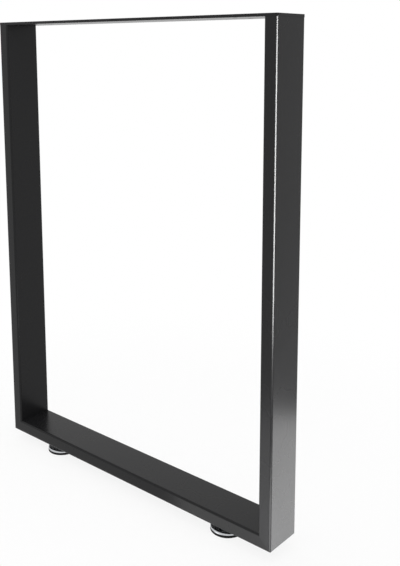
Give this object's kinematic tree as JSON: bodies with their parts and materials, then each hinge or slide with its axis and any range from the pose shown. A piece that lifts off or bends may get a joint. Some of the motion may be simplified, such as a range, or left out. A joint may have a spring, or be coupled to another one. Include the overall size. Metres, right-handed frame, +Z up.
{
  "type": "u-shaped table leg",
  "caption": "U-shaped table leg of flat black steel tube with a flat mounting plate across the top and swivel levelling feet under the bottom rail.",
  "frame": {"origin": "on the floor, under the middle of the leg, with the feet screwed right in", "axes": "+Z up, X along the leg's width from the left upright to the right one, Y along the wide side of the tube"},
  "size_m": [0.55, 0.06, 0.72],
  "materials": {
    "powder_coated_steel": "satin black powder coat",
    "zinc_plated_steel": "bright zinc plate",
    "pad_rubber": "matt black rubber"
  },
  "bodies": {
    "frame": {"left_upright": "powder_coated_steel", "right_upright": "powder_coated_steel", "bottom_rail": "powder_coated_steel", "top_plate": "powder_coated_steel", "left_threaded_insert": "zinc_plated_steel", "right_threaded_insert": "zinc_plated_steel"},
    "left_foot": {"left_foot_base": "zinc_plated_steel", "left_foot_pad": "pad_rubber"},
    "left_stud": {"left_foot_stud": "zinc_plated_steel"},
    "right_foot": {"right_foot_base": "zinc_plated_steel", "right_foot_pad": "pad_rubber"},
    "right_stud": {"right_foot_stud": "zinc_plated_steel"}
  },
  "joints": [
    {"name": "left_foot_height", "type": "slide", "parent": "frame", "child": "left_foot", "axis": [0, 0, -1], "range_m": [0, 0.009]},
    {"name": "left_stud_turn", "type": "hinge", "parent": "left_foot", "child": "left_stud", "pos_m": [-0.18, 0, 0.0127], "axis": [0, 0, -1], "range_deg": [0, 2160]},
    {"name": "right_foot_height", "type": "slide", "parent": "frame", "child": "right_foot", "axis": [0, 0, -1], "range_m": [0, 0.009]},
    {"name": "right_stud_turn", "type": "hinge", "parent": "right_foot", "child": "right_stud", "pos_m": [0.18, 0, 0.0127], "axis": [0, 0, -1], "range_deg": [0, 2160]}
  ],
  "couplings": [
    {"joint": "left_stud_turn", "follows": "left_foot_height", "rad_per_m": 4188.7},
    {"joint": "right_stud_turn", "follows": "right_foot_height", "rad_per_m": 4188.7}
  ]
}
